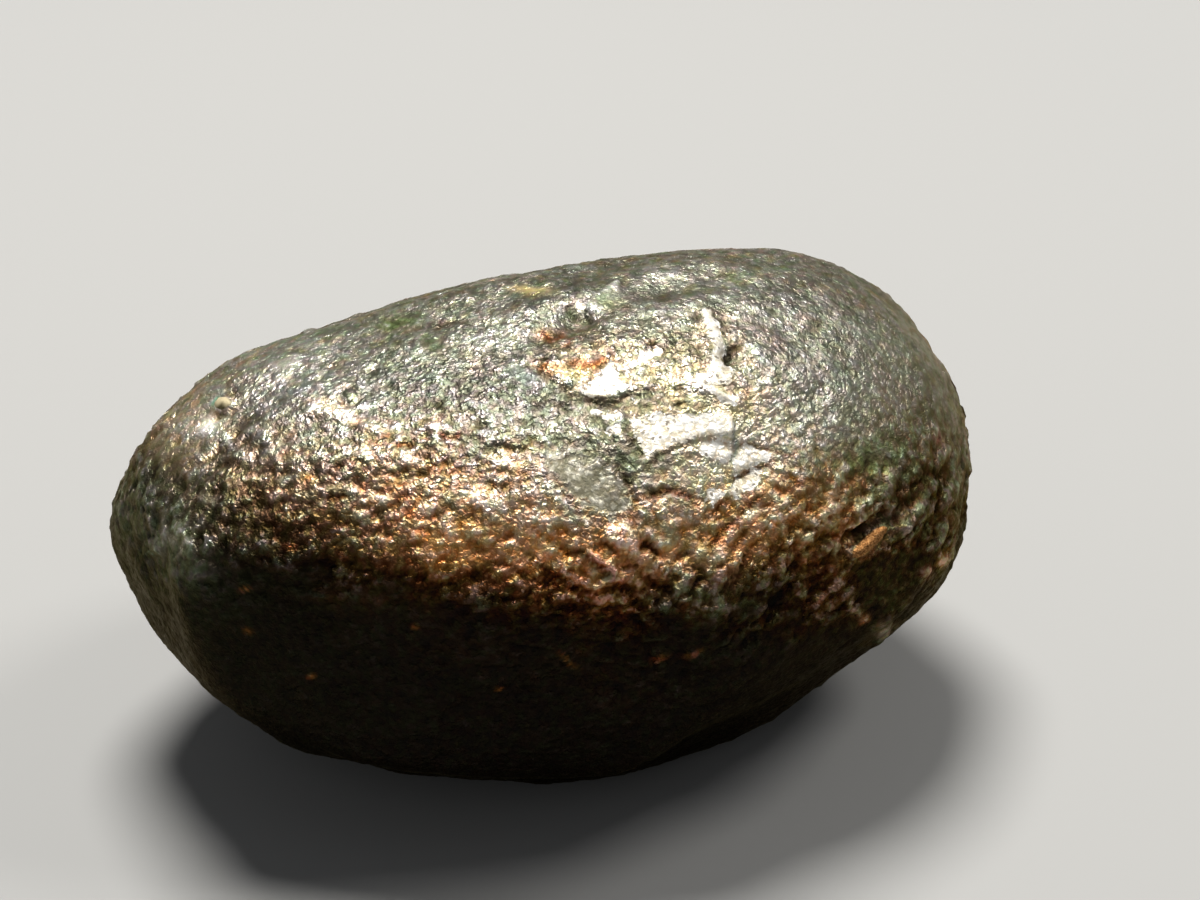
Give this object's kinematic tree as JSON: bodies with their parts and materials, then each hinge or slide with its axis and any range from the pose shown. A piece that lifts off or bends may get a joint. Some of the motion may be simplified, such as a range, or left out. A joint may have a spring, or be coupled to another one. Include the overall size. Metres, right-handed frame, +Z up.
{
  "type": "mohawkite nugget",
  "caption": "Water-worn egg-shaped nugget of heavy metallic copper arsenide ore with a bright fresh break and a small copper bleb, resting on a flat spot underneath.",
  "frame": {"origin": "under the middle of the nugget, on the plane that it rests on", "axes": "+X along the nugget towards its wide end, -Y towards the front with the fresh break and the copper bleb, +Z up from the resting flat"},
  "size_m": [0.0362, 0.0246, 0.0199],
  "materials": {
    "ore": "glittering metallic grains, silver grey to bronze, dark brown tarnish towards the underside, with mossy green patina, a pale grey-green quartz vein and a small bleb of bare copper"
  },
  "bodies": {
    "root": {"nugget": "ore"}
  },
  "joints": []
}
